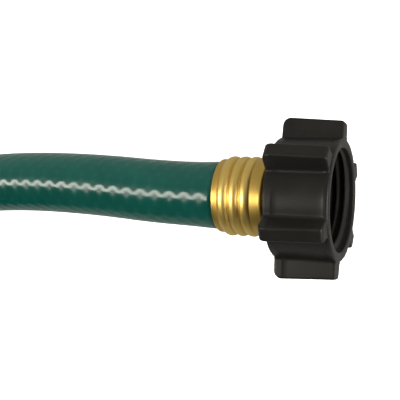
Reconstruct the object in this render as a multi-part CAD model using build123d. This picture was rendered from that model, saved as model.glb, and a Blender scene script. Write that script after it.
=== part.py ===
"""Female garden hose coupling on 1.5 m of half-inch hose, with a male coupling on the far end.

Row frame, in millimetres: +X runs along the coupling's axis, out of its threaded mouth, and +Z is up.
The coupling rests on two of its wings at z = 0, and the origin is on that surface, under the middle of
the coupling and its ferrule. Both ends of the hose are built along a local +X axis, with x = 0 at the
cut face of the hose in the ferrule's rim and +x pointing away from the hose.
"""

import os
from math import cos, degrees, hypot, radians, sin, tan

from build123d import *

# ---- driving dimensions ----
# hose, half-inch bore
HOSE_R = 9.1
LINER_WALL = 1.2  # inner tube, under the knitted yarn
YARN_WALL = 0.35

# crimped ferrule
RIB_COUNT = 3
RIB_PITCH = 3.1
RIB_HALF_WIDTH = 1.4
RIB_R = 11.05
FIRST_RIB = 2.55
FERRULE_R = 10.4  # between the ribs
FERRULE_WALL = 0.7
FERRULE_LENGTH = 13.7
FERRULE_CORNER = 0.8
RIM_R = 10.2  # rolled rim that grips the hose
RIM_BACK = 0.8  # how far the rim reaches over the hose
RIM_FRONT = 0.9
LAYER_GAP = 0.02

# brass insert, expanded inside the hose, that holds the nut
INSERT_R = 7.25
INSERT_BORE_R = 6.45
NECK_R = 8.9
NECK_SHOWING = 2.1  # between the ferrule and the nut
FLANGE_R = 11.8
FLANGE_THICK = 1.5
NUT_PLAY = 0.1

# swivel nut with a 3/4-11.5 NH garden hose thread
NUT_LENGTH = 17.2
NUT_R = 16.3
NUT_RIM_R = 16.45
NUT_RIM_LENGTH = 1.6
NUT_RIM_ROUND = 0.6
REAR_WALL = 2.7
WING_COUNT = 6
WING_ROOT_THICK = 5.2
WING_TIP_THICK = 4.2
WING_REAR_R = 21.95
WING_FRONT_R = 21.1
WING_SETBACK = 0.35  # the wings end this far behind the mouth
WING_REAR_CORNER = 2.2
WING_FRONT_CORNER = 0.8
WING_ROOT_FILLET = 0.8
WING_TIP_FILLET = 0.55
BAND_LENGTH = 2.4  # raised band around the rear of body and wings
BAND_PROUD = 0.12
MOUTH_R = 13.9
MOUTH_DEPTH = 1.4
MOUTH_CHAMFER = 0.3
THREAD_PITCH = 25.4 / 11.5
THREAD_CREST = 0.35
THREAD_TRIM = 0.25  # the ridge stops this far short of each end of its wall
FEMALE_MAJOR_R = 13.6
FEMALE_MINOR_R = 12.3
FEMALE_THREAD_LENGTH = 7.8

# rubber washer and the seat that it snaps into
WASHER_R = 12.7
WASHER_HOLE_R = 7.95
WASHER_THICK = 3.2
WASHER_EDGE = 0.3
WASHER_SEAT_R = 12.95

# male coupling on the far end
MALE_MAJOR_R = 13.4
MALE_MINOR_R = 12.15
MALE_THREAD_LENGTH = 7.5
NOSE_R = 11.8  # plain lead in front of the thread
NOSE_LENGTH = 2.0
NOSE_CHAMFER = 0.4
RELIEF_LENGTH = 1.2
COLLAR_FLATS = 28.0  # hexagonal collar, across flats
COLLAR_LENGTH = 5.5
COLLAR_CHAMFER_R = 15.1
SEAT_R = 8.4  # counterbore in the nose
SEAT_DEPTH = 5.0

# put-away coil: two turns side by side on the ground and part of a third on top
OUTER_TURN_R = 108.0
TURN_SPACING = 18.6
COIL_X = -206.0
LEAD_IN_FROM, LEAD_IN_TO = 8.0, 64.0  # straight hose that joins the outer turn, from the coil's centre
TIE_THICK = 1.4
TIE_GAP = 0.25
TIE_WIDTH = 20.0
LOW_TIE_TURN = 150.0  # degrees around the coil from its top, the way the hose runs
HIGH_TIE_TURN = 14.0

# ---- worked-out places ----
# along a hose end
RIB_STARTS = [FIRST_RIB - RIB_HALF_WIDTH + k * RIB_PITCH for k in range(RIB_COUNT)]
LAYERS_END = FERRULE_LENGTH - FERRULE_WALL - LAYER_GAP
NUT_REAR = FERRULE_LENGTH + NECK_SHOWING  # the male coupling's collar starts there too
NUT_WALL_END = NUT_REAR + REAR_WALL
MOUTH = NUT_REAR + NUT_LENGTH
FLANGE_START = NUT_WALL_END + NUT_PLAY
FLANGE_END = FLANGE_START + FLANGE_THICK
WASHER_START = FLANGE_END + NUT_PLAY
FEMALE_THREAD_END = MOUTH - MOUTH_DEPTH
FEMALE_THREAD_START = FEMALE_THREAD_END - FEMALE_THREAD_LENGTH
MALE_RELIEF_START = NUT_REAR + COLLAR_LENGTH
MALE_THREAD_START = MALE_RELIEF_START + RELIEF_LENGTH
MALE_THREAD_END = MALE_THREAD_START + MALE_THREAD_LENGTH
NOSE_END = MALE_THREAD_END + NOSE_LENGTH

# in the row frame
HALF_WING_STEP = radians(180 / WING_COUNT)
WING_TAPER = (WING_ROOT_THICK - WING_TIP_THICK) / 2 / (WING_REAR_R - NUT_R)
AXIS_Z = (  # two wings rest on the ground on their rounded tips
    (WING_REAR_R - WING_TIP_FILLET) * cos(HALF_WING_STEP)
    + (WING_TIP_THICK / 2 + WING_TIP_FILLET * (WING_TAPER - hypot(1, WING_TAPER))) * sin(HALF_WING_STEP)
    + WING_TIP_FILLET
)
HOSE_FACE_X = -(MOUTH - RIM_BACK) / 2
INNER_TURN_R = OUTER_TURN_R - TURN_SPACING
TOP_TURN_R = OUTER_TURN_R - TURN_SPACING / 2
LEAD_IN_Y = -1.0
COIL_Y = LEAD_IN_Y - OUTER_TURN_R
COIL_Z = TIE_THICK + TIE_GAP + HOSE_R
TOP_TURN_Z = COIL_Z + 2 * HOSE_R + 0.05
FAR_END_Z = COIL_Z + HOSE_R + COLLAR_FLATS / 2 + 0.1

# free hose from the ferrule down to the ground and to the coil's lead-in
RUN_ROUTE = [
    (HOSE_FACE_X, 0, AXIS_Z),
    (-32, 0, AXIS_Z),
    (-58, 1.9, AXIS_Z - 1.3),
    (-86, 2.4, AXIS_Z - 4.6),
    (-110, 0.6, COIL_Z + 1.3),
    (-126, LEAD_IN_Y, COIL_Z),
    (COIL_X + LEAD_IN_TO, LEAD_IN_Y, COIL_Z),
]

# top turn of the coil: corners at even steps around it, then the straight end that carries the male coupling
TAIL_STEP = 24.0
TAIL_FIRST_TURN = -8.0
TAIL_HEIGHTS = [TOP_TURN_Z, TOP_TURN_Z, TOP_TURN_Z, FAR_END_Z]
CORNER_R = TOP_TURN_R / cos(radians(TAIL_STEP / 2))
TAIL_RUN = 2 * TOP_TURN_R * tan(radians(TAIL_STEP / 2))


# ---- helpers ----
def turned(*edges):
    """A solid turned about the local X axis from the edges of its (x, radius) outline."""
    return revolve(Plane.XZ * make_face(Curve() + list(edges)), Axis.X, 360)


def turned_outline(*points):
    """A solid turned about the local X axis from the (x, radius) corners of its outline."""
    return turned(Polyline(*points, close=True))


def tube_between(start, end, outer, inner):
    return turned_outline((start, inner), (start, outer), (end, outer), (end, inner))


def on_coil(turn, radius, height):
    """The point at so many degrees around the coil from its top, the way the hose runs."""
    angle = radians(turn)
    return (COIL_X - radius * sin(angle), COIL_Y + radius * cos(angle), height)


def route_wire(points):
    """Straight runs joined by arcs as large as the runs allow, and the arcs' radii."""
    steps = [Vector(*b) - Vector(*a) for a, b in zip(points, points[1:])]
    radii = []
    for before, after in zip(steps, steps[1:]):
        half_turn = radians(before.get_angle(after) / 2)
        radii.append(0.45 * min(before.length, after.length) / tan(half_turn))
    return FilletPolyline(*points, radius=radii), radii


def hose_along(points):
    """A plain solid hose along a route, printed with its smallest radius and checked by its volume."""
    path, radii = route_wire(points)
    tube = sweep(Plane(path @ 0, z_dir=path % 0) * Circle(HOSE_R), path)
    section = Circle(HOSE_R).area
    print(
        f"hose of {path.length:.1f} mm, smallest radius {min(radii):.0f} mm of {[round(r) for r in radii]},"
        f" volume {tube.volume / (section * path.length):.4f} of section times length"
    )
    return tube


def thread_ridge(start, end, wall_r, crest_r):
    """A helical ridge on a wall of radius wall_r, cut square at both ends."""
    inwards = 1 if crest_r < wall_r else -1
    root_r = wall_r + inwards * 0.25
    spread = abs(root_r - crest_r) * tan(radians(30))
    half_crest, half_root = THREAD_CREST / 2, THREAD_CREST / 2 + spread
    before_start = start - THREAD_PITCH
    helix = Helix(THREAD_PITCH, end + THREAD_PITCH - before_start, wall_r, (before_start, 0, 0), (1, 0, 0))
    radial = Vector(0, (helix @ 0).Y, (helix @ 0).Z).normalized()
    plane = Plane((helix @ 0) - radial * wall_r, x_dir=(1, 0, 0), z_dir=Vector(1, 0, 0).cross(radial))
    section = Polyline(
        (-half_root, root_r), (-half_crest, crest_r), (half_crest, crest_r), (half_root, root_r), close=True
    )
    ridge = sweep(plane * make_face(section), helix, is_frenet=True)
    return ridge & tube_between(start, end, max(root_r, crest_r) + 1, min(root_r, crest_r) - 1)


def near_end(shape):
    return Pos(HOSE_FACE_X, 0, AXIS_Z) * shape


# ---- hose ends: the same ferrule and layers on both couplings ----
def ferrule_line(offset, start):
    """The ferrule's outside, from x = start in the rim to its last rib, moved inwards by an offset."""
    base = FERRULE_R - offset
    edges = [Line((start, RIM_R - offset), (RIM_FRONT, RIM_R - offset))]
    edges.append(Line((RIM_FRONT, RIM_R - offset), (RIB_STARTS[0], base)))
    for k, left in enumerate(RIB_STARTS):
        right = left + 2 * RIB_HALF_WIDTH
        edges.append(ThreePointArc((left, base), ((left + right) / 2, RIB_R - offset), (right, base)))
        if k + 1 < RIB_COUNT:
            edges.append(Line((right, base), (RIB_STARTS[k + 1], base)))
    return edges


def ferrule():
    """Crimped brass shell: rolled rim, three ribs, and a front wall that the insert clamps."""
    ribs_end = RIB_STARTS[-1] + 2 * RIB_HALF_WIDTH
    rim_start = -RIM_BACK + FERRULE_WALL / 2
    inside_r, inside_front = FERRULE_R - FERRULE_WALL, FERRULE_LENGTH - FERRULE_WALL
    hole_r = INSERT_R + LAYER_GAP
    corner = FERRULE_CORNER
    corner_middle = corner * (1 - cos(radians(45)))
    return turned(
        ThreePointArc(
            (rim_start, RIM_R - FERRULE_WALL), (-RIM_BACK, RIM_R - FERRULE_WALL / 2), (rim_start, RIM_R)
        ),
        *ferrule_line(0, rim_start),
        Line((ribs_end, FERRULE_R), (FERRULE_LENGTH - corner, FERRULE_R)),
        ThreePointArc(
            (FERRULE_LENGTH - corner, FERRULE_R),
            (FERRULE_LENGTH - corner_middle, FERRULE_R - corner_middle),
            (FERRULE_LENGTH, FERRULE_R - corner),
        ),
        Line((FERRULE_LENGTH, FERRULE_R - corner), (FERRULE_LENGTH, hole_r)),
        Line((FERRULE_LENGTH, hole_r), (inside_front, hole_r)),
        Line((inside_front, hole_r), (inside_front, inside_r)),
        Line((inside_front, inside_r), (ribs_end, inside_r)),
        *ferrule_line(FERRULE_WALL, rim_start),
    )


def hose_layers():
    """The hose's wall inside the ferrule: cover, knitted yarn and inner tube."""
    liner_r = INSERT_R + LINER_WALL
    yarn_r = liner_r + YARN_WALL
    ribs_end = RIB_STARTS[-1] + 2 * RIB_HALF_WIDTH
    offset = FERRULE_WALL + LAYER_GAP
    cover_r = FERRULE_R - offset
    cover = turned(
        *ferrule_line(offset, 0),
        Line((ribs_end, cover_r), (LAYERS_END, cover_r)),
        Line((LAYERS_END, cover_r), (LAYERS_END, yarn_r)),
        Line((LAYERS_END, yarn_r), (0, yarn_r)),
        Line((0, yarn_r), (0, RIM_R - offset)),
    )
    yarn = tube_between(0, LAYERS_END, yarn_r, liner_r)
    liner = tube_between(0, LAYERS_END, liner_r, INSERT_R)
    return cover, yarn, liner


# ---- female coupling ----
def insert():
    """Flanged brass tube: the nut turns on its neck, and its tail is expanded inside the hose."""
    return turned_outline(
        (0, INSERT_BORE_R),
        (0, INSERT_R),
        (FERRULE_LENGTH, INSERT_R),
        (FERRULE_LENGTH, NECK_R),
        (FLANGE_START, NECK_R),
        (FLANGE_START, FLANGE_R),
        (FLANGE_END, FLANGE_R),
        (FLANGE_END, INSERT_BORE_R),
    )


def washer():
    ring = tube_between(WASHER_START, WASHER_START + WASHER_THICK, WASHER_R, WASHER_HOLE_R)
    return fillet(ring.edges().filter_by(GeomType.CIRCLE), WASHER_EDGE)


def nut_outline(grow, tip_r):
    """A round body and its tapered wings, wider by grow all round, out to tip_r."""
    body_r = NUT_R + grow
    half_tip = WING_TIP_THICK / 2 + (WING_REAR_R - tip_r) * WING_TAPER - BAND_PROUD + grow
    half_middle = half_tip + tip_r * WING_TAPER
    corners = ((0, -half_middle), (tip_r, -half_tip), (tip_r, half_tip), (0, half_middle))
    wing = make_face(Polyline(*corners, close=True))
    outline = Circle(body_r)
    for k in range(WING_COUNT):
        outline += Rot(0, 0, k * 360 / WING_COUNT) * wing
    roots = [v for v in outline.vertices() if v.center().length < body_r + 1]
    outline = fillet(roots, WING_ROOT_FILLET)
    tips = [v for v in outline.vertices() if v.center().length > tip_r - 0.01]
    return fillet(tips, WING_TIP_FILLET)


def nut_section(x, grow, tip_r):
    """The nut's outline at x."""
    return Plane.YZ.offset(x) * nut_outline(grow, tip_r)


def corner_trim():
    """A body of revolution that rounds the wings' rear and front corners and is clear of all else."""
    rear, front = NUT_REAR, MOUTH - WING_SETBACK
    round_rear, round_front, clear_r = WING_REAR_CORNER, WING_FRONT_CORNER, WING_REAR_R + 5
    share = 1 - cos(radians(45))
    return turned(
        Line((rear, 0), (rear, WING_REAR_R - round_rear)),
        ThreePointArc(
            (rear, WING_REAR_R - round_rear),
            (rear + round_rear * share, WING_REAR_R - round_rear * share),
            (rear + round_rear, WING_REAR_R),
        ),
        Line((rear + round_rear, WING_REAR_R), (rear + round_rear, clear_r)),
        Line((rear + round_rear, clear_r), (front - round_front, clear_r)),
        Line((front - round_front, clear_r), (front - round_front, WING_FRONT_R)),
        ThreePointArc(
            (front - round_front, WING_FRONT_R),
            (front - round_front * share, WING_FRONT_R - round_front * share),
            (front, WING_FRONT_R - round_front),
        ),
        Line((front, WING_FRONT_R - round_front), (front, 0)),
        Line((front, 0), (rear, 0)),
    )


def swivel_nut():
    """Moulded nut: winged body, raised rear band, rim around the mouth, and its internal thread."""
    band_end, wings_end = NUT_REAR + BAND_LENGTH, MOUTH - WING_SETBACK
    band = extrude(nut_section(NUT_REAR, BAND_PROUD, WING_REAR_R), BAND_LENGTH)
    winged = loft(
        [nut_section(band_end, 0, WING_REAR_R - BAND_PROUD), nut_section(wings_end, 0, WING_FRONT_R)],
        ruled=True,
    )
    rim = tube_between(MOUTH - NUT_RIM_LENGTH, MOUTH, NUT_RIM_R, WASHER_HOLE_R)
    mouth_edges = rim.edges().filter_by(GeomType.CIRCLE).sort_by(Axis.X)[-2:]
    rim = fillet(mouth_edges.sort_by(SortBy.RADIUS)[-1], NUT_RIM_ROUND)
    cavity = turned_outline(
        (NUT_REAR - 1, 0),
        (NUT_REAR - 1, NECK_R + NUT_PLAY),
        (NUT_WALL_END, NECK_R + NUT_PLAY),
        (NUT_WALL_END, WASHER_SEAT_R),
        (FEMALE_THREAD_START, WASHER_SEAT_R),
        (FEMALE_THREAD_START, FEMALE_MAJOR_R),
        (FEMALE_THREAD_END, FEMALE_MAJOR_R),
        (FEMALE_THREAD_END, MOUTH_R),
        (MOUTH - MOUTH_CHAMFER, MOUTH_R),
        (MOUTH, MOUTH_R + MOUTH_CHAMFER),
        (MOUTH + 1, MOUTH_R + MOUTH_CHAMFER),
        (MOUTH + 1, 0),
    )
    shell = ((band + winged) & corner_trim()) + rim - cavity
    thread_start, thread_end = FEMALE_THREAD_START + THREAD_TRIM, FEMALE_THREAD_END - THREAD_TRIM
    return shell + thread_ridge(thread_start, thread_end, FEMALE_MAJOR_R, FEMALE_MINOR_R)


# ---- male coupling ----
def male_fitting():
    """Brass male coupling in one piece: expanded tail, neck, hexagonal collar, thread and plain nose."""
    core = turned_outline(
        (0, INSERT_BORE_R),
        (0, INSERT_R),
        (FERRULE_LENGTH, INSERT_R),
        (FERRULE_LENGTH, NECK_R),
        (NUT_REAR + 1, NECK_R),
        (NUT_REAR + 1, NOSE_R),
        (MALE_THREAD_START, NOSE_R),
        (MALE_THREAD_START, MALE_MINOR_R),
        (MALE_THREAD_END, MALE_MINOR_R),
        (MALE_THREAD_END, NOSE_R),
        (NOSE_END - NOSE_CHAMFER, NOSE_R),
        (NOSE_END, NOSE_R - NOSE_CHAMFER),
        (NOSE_END, SEAT_R),
        (NOSE_END - SEAT_DEPTH, SEAT_R),
        (NOSE_END - SEAT_DEPTH, INSERT_BORE_R),
    )
    hexagon = RegularPolygon(COLLAR_FLATS / 2, 6, major_radius=False, rotation=0)
    collar = extrude(Plane.YZ.offset(NUT_REAR) * hexagon, COLLAR_LENGTH)
    half_length, flats_r = COLLAR_LENGTH / 2, COLLAR_FLATS / 2
    barrel = turned_outline(
        (NUT_REAR, NECK_R - 1),
        (NUT_REAR, COLLAR_CHAMFER_R),
        (NUT_REAR + half_length, COLLAR_CHAMFER_R + flats_r / 8),
        (MALE_RELIEF_START, COLLAR_CHAMFER_R),
        (MALE_RELIEF_START, NECK_R - 1),
    )
    thread_start, thread_end = MALE_THREAD_START + THREAD_TRIM, MALE_THREAD_END - THREAD_TRIM
    thread = thread_ridge(thread_start, thread_end, MALE_MINOR_R, MALE_MAJOR_R)
    return core + (collar & barrel) + thread


# ---- coil, ties and the far end ----
def coil_section(offset, with_top):
    """The outline of the coil's bundle in the radial plane, moved outwards by an offset."""
    middles = [(INNER_TURN_R, COIL_Z), (OUTER_TURN_R, COIL_Z)]
    if with_top:
        middles.append((TOP_TURN_R, TOP_TURN_Z))
    circles = [edge for y, z in middles for edge in (Pos(y, z) * Circle(HOSE_R + offset)).edges()]
    return Plane.YZ * make_hull(circles)


def hose_coil():
    """The two turns on the ground as one plain ring, with the straight hose that leads into them."""
    ring = Pos(COIL_X, COIL_Y, 0) * revolve(coil_section(0, False), Axis.Z, 360)
    lead_in = Plane.YZ.offset(COIL_X + LEAD_IN_FROM) * Pos(LEAD_IN_Y, COIL_Z) * Circle(HOSE_R)
    return ring + extrude(lead_in, LEAD_IN_TO - LEAD_IN_FROM)


def coil_tie(turn, with_top):
    """A strap around the bundle, as long around the coil as the strap is wide."""
    angle = degrees(TIE_WIDTH / TOP_TURN_R)
    section = coil_section(TIE_GAP + TIE_THICK, with_top) - coil_section(TIE_GAP, with_top)
    strap = revolve(section, Axis.Z, angle)
    return Pos(COIL_X, COIL_Y, 0) * Rot(0, 0, turn - angle / 2) * strap


def tail_route():
    """Corners of the top turn, with a straight run at each end as long as those between the corners."""
    corners = [
        Vector(*on_coil(TAIL_FIRST_TURN + k * TAIL_STEP, CORNER_R, z)) for k, z in enumerate(TAIL_HEIGHTS)
    ]
    first_turn = radians(TAIL_FIRST_TURN - TAIL_STEP / 2)
    last_turn = radians(TAIL_FIRST_TURN + (len(corners) - 0.5) * TAIL_STEP)
    start = corners[0] + Vector(cos(first_turn), sin(first_turn), 0) * TAIL_RUN
    end = corners[-1] - Vector(cos(last_turn), sin(last_turn), 0) * TAIL_RUN
    return [start, *corners, end]


route = tail_route()
far_heading = (route[-1] - route[-2]).normalized()
far_plane = Plane(route[-1], x_dir=far_heading, z_dir=(0, 0, 1))
cover, yarn, liner = hose_layers()

nodes = {
    "swivel_nut": near_end(swivel_nut()),
    "hose_washer": near_end(washer()),
    "insert": near_end(insert()),
    "ferrule": near_end(ferrule()),
    "hose_end_cover": near_end(cover),
    "hose_end_yarn": near_end(yarn),
    "hose_end_liner": near_end(liner),
    "hose_run": hose_along(RUN_ROUTE),
    "hose_coil": hose_coil(),
    "hose_tail": hose_along(route),
    "coil_tie_low": coil_tie(LOW_TIE_TURN, False),
    "coil_tie_high": coil_tie(HIGH_TIE_TURN, True),
    "far_ferrule": far_plane * ferrule(),
    "male_fitting": far_plane * male_fitting(),
    "far_end_cover": far_plane * cover,
    "far_end_yarn": far_plane * yarn,
    "far_end_liner": far_plane * liner,
}

os.makedirs("parts", exist_ok=True)
for name, shape in nodes.items():
    export_step(shape, f"parts/{name}.step")
    box = shape.bounding_box()
    print(f"{name}: {len(shape.solids())} solid(s), {shape.volume:.1f} mm3, {box.min} to {box.max}")
print(f"axis height {AXIS_Z:.3f}, hose face at x {HOSE_FACE_X:.3f}, mouth at x {HOSE_FACE_X + MOUTH:.3f}")
print(f"far end at {route[-1]}, heading {far_heading}")
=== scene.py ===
# %% [markdown]
# # A garden hose coupling
# A black swivel nut and a ribbed brass ferrule on a short green hose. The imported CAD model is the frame:
# its nodes keep their place and size, and everything made here is built around them, in metres.

import math

import bmesh
import bpy
from mathutils import Matrix, Vector


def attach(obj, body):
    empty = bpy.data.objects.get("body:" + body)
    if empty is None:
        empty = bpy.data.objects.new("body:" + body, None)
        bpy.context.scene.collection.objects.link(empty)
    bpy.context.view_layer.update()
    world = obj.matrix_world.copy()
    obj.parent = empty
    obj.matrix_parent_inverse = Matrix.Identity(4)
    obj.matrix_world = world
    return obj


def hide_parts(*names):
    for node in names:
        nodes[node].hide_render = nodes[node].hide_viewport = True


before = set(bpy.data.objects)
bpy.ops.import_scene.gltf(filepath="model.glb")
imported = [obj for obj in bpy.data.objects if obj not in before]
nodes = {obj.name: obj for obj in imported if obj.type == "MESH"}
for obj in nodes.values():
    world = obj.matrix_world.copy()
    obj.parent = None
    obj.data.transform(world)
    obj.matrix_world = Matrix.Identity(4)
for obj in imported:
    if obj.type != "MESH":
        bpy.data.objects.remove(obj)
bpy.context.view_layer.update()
scene = bpy.context.scene
MM = 0.001
print("nodes:", sorted(nodes))

# %% [markdown]
# ## Camera
# The coupling lies on a white table and is seen from almost straight above, from a little beyond its mouth.
# A lens longer than normal keeps the far end of the hose nearly as thick as the near end.

# %% Camera
camera = bpy.data.objects.new("camera", bpy.data.cameras.new("camera"))
camera.data.sensor_width = 36
camera.data.lens = 76.5
camera.data.clip_start = 0.01
camera.location = (0.0668, -0.0164, 0.2418)
camera.rotation_euler = [math.radians(angle) for angle in (5.14, 21.92, 4.25)]
scene.collection.objects.link(camera)
scene.camera = camera
print("camera height above the table:", camera.location.z, "m")

# %% [markdown]
# ## The hose's route
# A hose is one length of something stiff. It leaves the ferrule level, sinks to the table, and is then put
# away in a coil: two turns side by side and a part of a third in the groove between them. It could be drawn
# as arcs and straight runs, but those look like bent wire. A NURBS curve of order 3 passes smoothly between
# its control points instead, so a few listed points do for the free stretch, and a loop gives the turns.

# %% Sizes of the hose and its coil
HOSE_R = 9.1 * MM
AXIS_Z = 19.881 * MM  # the coupling's axis above the table
HOSE_FACE_X = -16.1 * MM  # the hose's cut end, inside the ferrule's rim
COIL_X, COIL_Y, COIL_Z = -206.0 * MM, -109.0 * MM, 10.75 * MM
OUTER_TURN_R, INNER_TURN_R = 108.0 * MM, 89.4 * MM
TOP_TURN_R = (OUTER_TURN_R + INNER_TURN_R) / 2
GROOVE_Z = COIL_Z + 16.0 * MM  # a hose that has sunk into the groove between two others
FAR_END_Z = 33.95 * MM
LEAD_IN_Y = -1.0 * MM


def smooth_step(low, high, value):
    """0 below low, 1 above high, and a smooth rise between them."""
    share = min(max((value - low) / (high - low), 0), 1)
    return share * share * (3 - 2 * share)


def on_coil(turn, radius, height):
    """A point so many degrees around the coil from its top, the way the hose runs."""
    angle = math.radians(turn)
    return (COIL_X - radius * math.sin(angle), COIL_Y + radius * math.cos(angle), height)


print("coil across its outside:", round(2 * (OUTER_TURN_R + HOSE_R), 4), "m")

# %% Free stretch from the ferrule to the coil
exit_point = (HOSE_FACE_X, 0, AXIS_Z)
route = [
    exit_point,
    (-32 * MM, 0, AXIS_Z),
    (-58 * MM, 1.9 * MM, AXIS_Z - 1.3 * MM),
    (-86 * MM, 2.4 * MM, AXIS_Z - 4.6 * MM),
    (-110 * MM, 0.6 * MM, COIL_Z + 1.3 * MM),
    (-126 * MM, LEAD_IN_Y, COIL_Z),
    (-142 * MM, LEAD_IN_Y, COIL_Z),
    (COIL_X + 20 * MM, LEAD_IN_Y, COIL_Z),
]
print("points on the free stretch:", len(route))

# %% Turns of the coil
TURN_STEP = 22.5  # degrees between the points of a turn
corner_out = 1 / math.cos(math.radians(TURN_STEP / 2))  # the curve touches the middle of each side
for k in range(31):
    turn = TURN_STEP * (k + 0.5)
    radius = OUTER_TURN_R
    radius += (INNER_TURN_R - OUTER_TURN_R) * smooth_step(290, 375, turn)
    radius += (TOP_TURN_R - INNER_TURN_R) * smooth_step(640, 710, turn)
    height = COIL_Z + (GROOVE_Z - COIL_Z) * smooth_step(630, 715, turn)
    route.append(on_coil(turn, radius * corner_out, height))
print("points after the turns:", len(route))

# %% Top turn and far end
TAIL_STEP = 24.0
TAIL_START = 712.0
tail_r = TOP_TURN_R / math.cos(math.radians(TAIL_STEP / 2))
for k, height in enumerate((GROOVE_Z, GROOVE_Z + 0.5 * MM, GROOVE_Z + 2.5 * MM, FAR_END_Z)):
    route.append(on_coil(TAIL_START + k * TAIL_STEP, tail_r, height))
last_turn = math.radians(TAIL_START + 3.5 * TAIL_STEP)
far_heading = Vector((-math.cos(last_turn), -math.sin(last_turn), 0))
far_face = Vector(route[-1]) + far_heading * 2 * TOP_TURN_R * math.tan(math.radians(TAIL_STEP / 2))
route.append(tuple(far_face))
print("far end at", [round(v, 4) for v in far_face], "heading", [round(v, 3) for v in far_heading])

# %% The route as a NURBS curve
route_curve = bpy.data.curves.new("hose_route", "CURVE")
route_curve.dimensions = "3D"
spline = route_curve.splines.new("NURBS")
spline.points.add(len(route) - 1)
for point, place in zip(spline.points, route):
    point.co = (*place, 1)
spline.order_u = 3
spline.use_endpoint_u = True
spline.resolution_u = 14
route_object = bpy.data.objects.new("hose_route", route_curve)
scene.collection.objects.link(route_object)
depsgraph = bpy.context.evaluated_depsgraph_get()
route_mesh = bpy.data.meshes.new_from_object(route_object.evaluated_get(depsgraph))
path = [vertex.co.copy() for vertex in route_mesh.vertices]
bpy.data.objects.remove(route_object)
along = [0.0]
for a, b in zip(path, path[1:]):
    along.append(along[-1] + (b - a).length)
print("points on the path:", len(path), "length:", round(along[-1], 4), "m")

# %% [markdown]
# ## Small tools
# Three helpers serve the whole scene. One adds a node to a shader or geometry tree with its settings and
# links. One makes an object from points and faces, placed by its mesh, so that the object itself stays at
# the origin. One hands a finished piece over: the body it moves with, and the CAD nodes that it stands for,
# which it hides.


# %% Helpers
def add(tree, kind, inputs=(), **settings):
    """Add a node: inputs are plain values, nodes or their sockets, and settings are its properties."""
    node = tree.nodes.new(kind)
    for name, value in settings.items():
        setattr(node, name, value)
    for key, value in inputs.items() if isinstance(inputs, dict) else enumerate(inputs):
        if isinstance(value, bpy.types.Node):
            value = value.outputs[0]
        if isinstance(value, bpy.types.NodeSocket):
            tree.links.new(value, node.inputs[key])
        else:
            node.inputs[key].default_value = value
    return node


def mesh_object(name, points, faces, smooth=True):
    """A piece from points and faces, with its faces turned outwards."""
    mesh = bpy.data.meshes.new(name)
    mesh.from_pydata([tuple(p) for p in points], [], faces)
    turn_outwards(mesh)
    if smooth:
        mesh.shade_smooth()
    else:
        mesh.shade_flat()
    piece = bpy.data.objects.new(name, mesh)
    scene.collection.objects.link(piece)
    return piece


def turn_outwards(mesh):
    """Merge doubled points and point every face outwards."""
    bm = bmesh.new()
    bm.from_mesh(mesh)
    bmesh.ops.remove_doubles(bm, verts=bm.verts, dist=0.001 * MM)
    bmesh.ops.recalc_face_normals(bm, faces=bm.faces)
    if bm.calc_volume(signed=True) < 0:
        bmesh.ops.reverse_faces(bm, faces=bm.faces)
    open_edges = sum(1 for edge in bm.edges if len(edge.link_faces) != 2)
    bm.to_mesh(mesh)
    bm.free()
    print(mesh.name, "faces:", len(mesh.polygons), "open edges:", open_edges)


def hand_over(piece, body, slot, *stands_for):
    """Say which body a piece moves with and the CAD nodes it stands for; the slot is not used."""
    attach(piece, body)
    if stands_for:
        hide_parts(*stands_for)


def ring_faces(rows, count, closed=False):
    """Quads between rows of count points that each go once around, and from the last row to the first."""
    faces = []
    for row in range(rows if closed else rows - 1):
        here, there = row * count, (row + 1) % rows * count
        for k in range(count):
            after = (k + 1) % count
            faces.append((here + k, here + after, there + after, there + k))
    return faces


# %% [markdown]
# ## Vinyl
# The hose's cover is glossy extruded vinyl over knitted yarn. The yarn presses through as shallow bumps on a
# lattice, which is what breaks the highlight into a zigzag. The bumps are a product of two waves, one along
# the hose and one around it, read from the hose's UV map in metres, so they follow it round the coil. They
# are too shallow to be worth modelling, so they are a bump of their true height.

# %% Helpers for finishes
MATH = "ShaderNodeMath"


def hex_colour(code):
    """An sRGB hex colour as linear RGBA."""
    channels = [int(code[i : i + 2], 16) / 255 for i in (1, 3, 5)]
    return [c / 12.92 if c <= 0.04045 else ((c + 0.055) / 1.055) ** 2.4 for c in channels] + [1.0]


def start_finish(name):
    """A new material, its node tree and its shader."""
    material = bpy.data.materials.new(name)
    material.use_nodes = True
    return material, material.node_tree, material.node_tree.nodes["Principled BSDF"]


def connect(tree, shader, **sources):
    """Link nodes to the shader's sockets, with spaces in place of underscores."""
    for name, source in sources.items():
        socket = source.outputs[0] if isinstance(source, bpy.types.Node) else source
        tree.links.new(socket, shader.inputs[name.replace("_", " ")])


print("dark green:", [round(c, 4) for c in hex_colour("#04493D")])

# %% Vinyl
KNIT_ALONG, KNIT_AROUND = 4.4 * MM, 4.4 * MM  # one loop of the yarn
KNIT_HEIGHT = 0.052 * MM
vinyl, tree, shader = start_finish("glossy_vinyl")
place = add(tree, "ShaderNodeSeparateXYZ", [add(tree, "ShaderNodeUVMap", uv_map="along_and_around")])
waves = []
for output, loop, wave in (("X", KNIT_ALONG, "COSINE"), ("Y", KNIT_AROUND, "SINE")):
    turn = add(tree, MATH, [place.outputs[output], 2 * math.pi / loop], operation="MULTIPLY")
    waves.append(add(tree, MATH, [turn], operation=wave))
lattice = add(tree, MATH, waves, operation="MULTIPLY")
where = add(tree, "ShaderNodeTexCoord").outputs["Object"]
ripple = add(tree, "ShaderNodeTexNoise", {"Vector": where, "Scale": 420.0, "Detail": 3.0})
uneven = add(tree, MATH, [ripple, 0.5], operation="MULTIPLY")
height = add(tree, MATH, [lattice, uneven], operation="ADD")
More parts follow.
